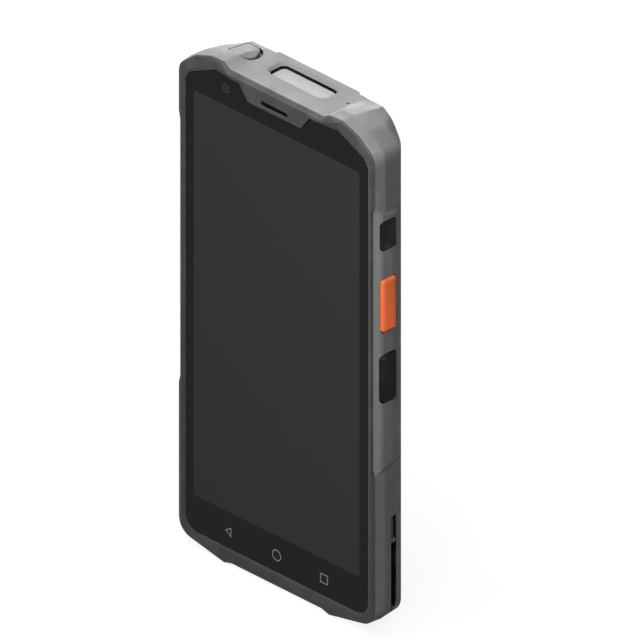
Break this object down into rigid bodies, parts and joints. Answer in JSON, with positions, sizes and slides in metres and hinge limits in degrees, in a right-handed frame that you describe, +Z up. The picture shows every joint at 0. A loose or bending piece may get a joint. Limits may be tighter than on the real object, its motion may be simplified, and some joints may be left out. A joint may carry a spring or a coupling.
{
  "type": "portable barcode data terminal",
  "caption": "Upright touch handheld with a scan window in its top, side keys, a rubber port cover and a screw-free battery cover.",
  "frame": {"origin": "middle of the underside, on the surface that the feet stand on", "axes": "+Z up along the height, +X to the right seen from the screen side, +Y from the screen to the back"},
  "size_m": [0.0772, 0.0174, 0.1542],
  "materials": {
    "frame_plastic": "fine moulded grain, dark grey",
    "housing_plastic": "fine moulded grain, mid grey",
    "cover_glass": "polished cover glass with a dark printed border",
    "adhesive": "dark adhesive frame",
    "display": "display, switched off",
    "mesh": "fine dark mesh",
    "black_plastic": "black plastic",
    "lens": "dark lens",
    "seal_rubber": "black rubber",
    "chassis_metal": "cast, satin",
    "battery_wrap": "plain dark wrap",
    "board": "solder resist",
    "shield_metal": "tinned sheet",
    "flex": "flexible strip",
    "clear_window": "clear window",
    "key_black": "black key",
    "key_orange": "orange key with dotted grip",
    "port_rubber": "grey rubber",
    "contact_gold": "gilt",
    "bezel_metal": "dark anodised",
    "flash_lens": "diffusing lens",
    "screw_steel": "dark steel"
  },
  "bodies": {
    "body": {"battery_contacts": "black_plastic", "battery_cover": "housing_plastic", "battery_pack": "battery_wrap", "battery_seal": "seal_rubber", "board_flex": "flex", "camera_bezel": "bezel_metal", "camera_window": "lens", "charging_contacts": "contact_gold", "cover_glass": "cover_glass", "display_panel": "display", "earpiece_mesh": "mesh", "earpiece_receiver": "black_plastic", "engine_bracket": "shield_metal", "flash_lens": "flash_lens", "frame_seal": "seal_rubber", "front_camera": "lens", "front_frame": "frame_plastic", "glass_adhesive": "adhesive", "headset_jack": "black_plastic", "housing_screws": "screw_steel", "key_switches": "board", "loudspeaker": "black_plastic", "main_board": "board", "mid_chassis": "chassis_metal", "rear_camera": "black_plastic", "rear_housing": "housing_plastic", "scan_engine": "black_plastic", "scan_window": "clear_window", "shield_cans": "shield_metal", "speaker_mesh": "mesh", "sub_board": "board", "top_microphone": "shield_metal", "usb_socket": "shield_metal", "vibration_motor": "shield_metal", "window_seal": "seal_rubber"},
    "power_key": {"power_key": "key_black"},
    "scan_key": {"scan_key": "key_orange"},
    "volume_key": {"volume_key": "key_black"},
    "port_cover": {"port_cover": "port_rubber"}
  },
  "joints": [
    {"name": "power_press", "type": "slide", "parent": "body", "child": "power_key", "axis": [-1, 0, 0], "range_m": [0, 0.0004], "stiffness_N_per_m": 800},
    {"name": "scan_press", "type": "slide", "parent": "body", "child": "scan_key", "axis": [-1, 0, 0], "range_m": [0, 0.0004], "stiffness_N_per_m": 800},
    {"name": "volume_rock", "type": "hinge", "parent": "body", "child": "volume_key", "pos_m": [0.034, -0.00355, 0.07925], "axis": [0, 1, 0], "range_deg": [-1.6, 1.6], "stiffness_Nm_per_rad": 0.05},
    {"name": "port_cover_swing", "type": "hinge", "parent": "body", "child": "port_cover", "pos_m": [-0.0248, 0.0023, 0.15335], "axis": [0, -0.9877, 0.1564], "range_deg": [0, 150], "stiffness_Nm_per_rad": 0.0005}
  ]
}
